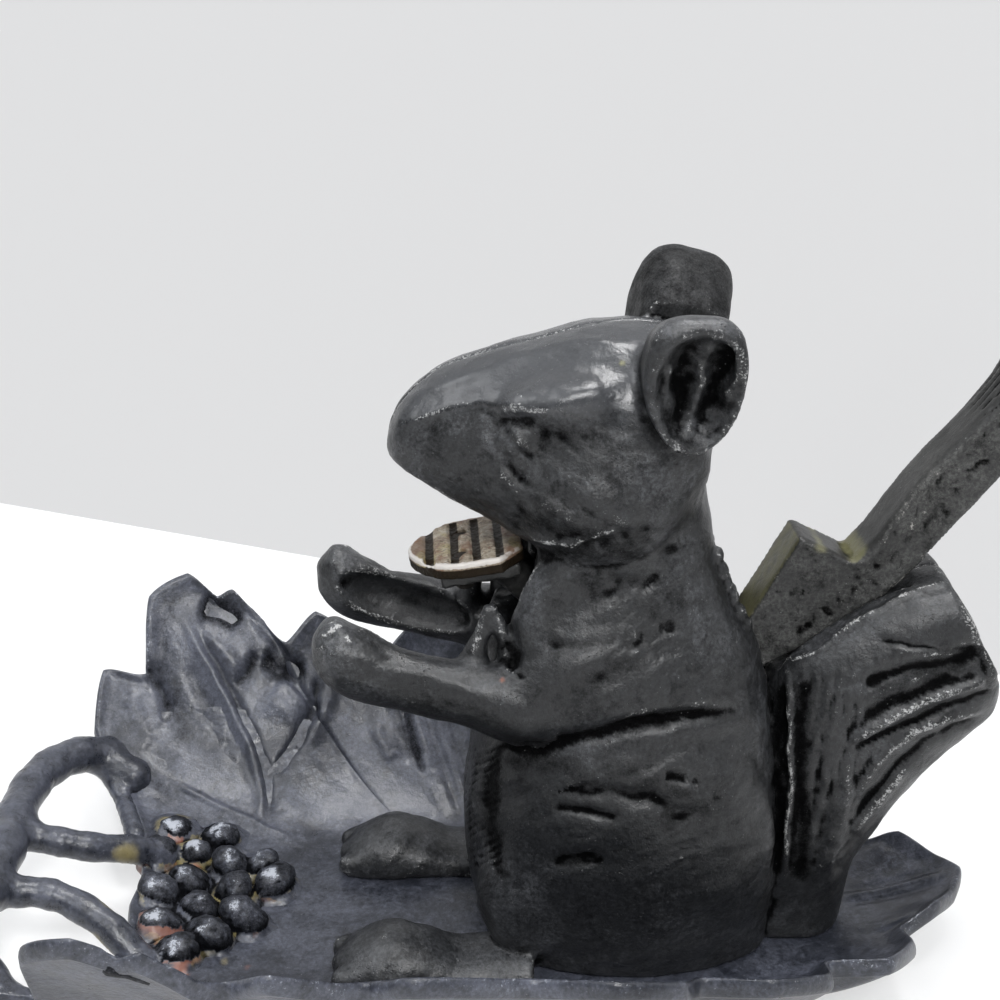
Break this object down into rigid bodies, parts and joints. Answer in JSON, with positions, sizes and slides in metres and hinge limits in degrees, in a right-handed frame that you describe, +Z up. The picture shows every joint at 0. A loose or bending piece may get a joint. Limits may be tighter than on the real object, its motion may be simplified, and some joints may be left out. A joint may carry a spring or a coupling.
{
  "type": "lever nutcracker",
  "caption": "Cast-iron lever nutcracker shaped as a sitting squirrel on a cupped leaf tray; the tail is the lever and works a serrated jaw.",
  "frame": {"origin": "middle of the flat foot pad under the leaf tray, on the table", "axes": "+X from the squirrel's nose to its tail, +Y to the squirrel's right side, +Z up"},
  "size_m": [0.2611, 0.15, 0.1903],
  "materials": {
    "tray_japan": "bluish black japan lacquer over cast iron, worn at the edges",
    "figure_japan": "semi-gloss black japan lacquer over cast iron",
    "lever_japan": "worn black japan lacquer with an olive patina",
    "bare_jaw": "bare worn iron with rust in the grooves",
    "rivet_iron": "dull iron",
    "pin_steel": "turned steel",
    "screw_steel": "darkened steel"
  },
  "bodies": {
    "figure": {"leaf_tray": "tray_japan", "body_left": "figure_japan", "body_right": "figure_japan", "pivot_pin": "pin_steel", "body_screws": "screw_steel", "base_screws": "screw_steel"},
    "lever": {"tail_lever": "lever_japan", "jaw_plate": "bare_jaw", "jaw_rivets": "rivet_iron"}
  },
  "joints": [
    {"name": "tail_hinge", "type": "hinge", "parent": "figure", "child": "lever", "pos_m": [0.04, 0, 0.077], "axis": [0, -1, 0], "range_deg": [0, 14]}
  ]
}
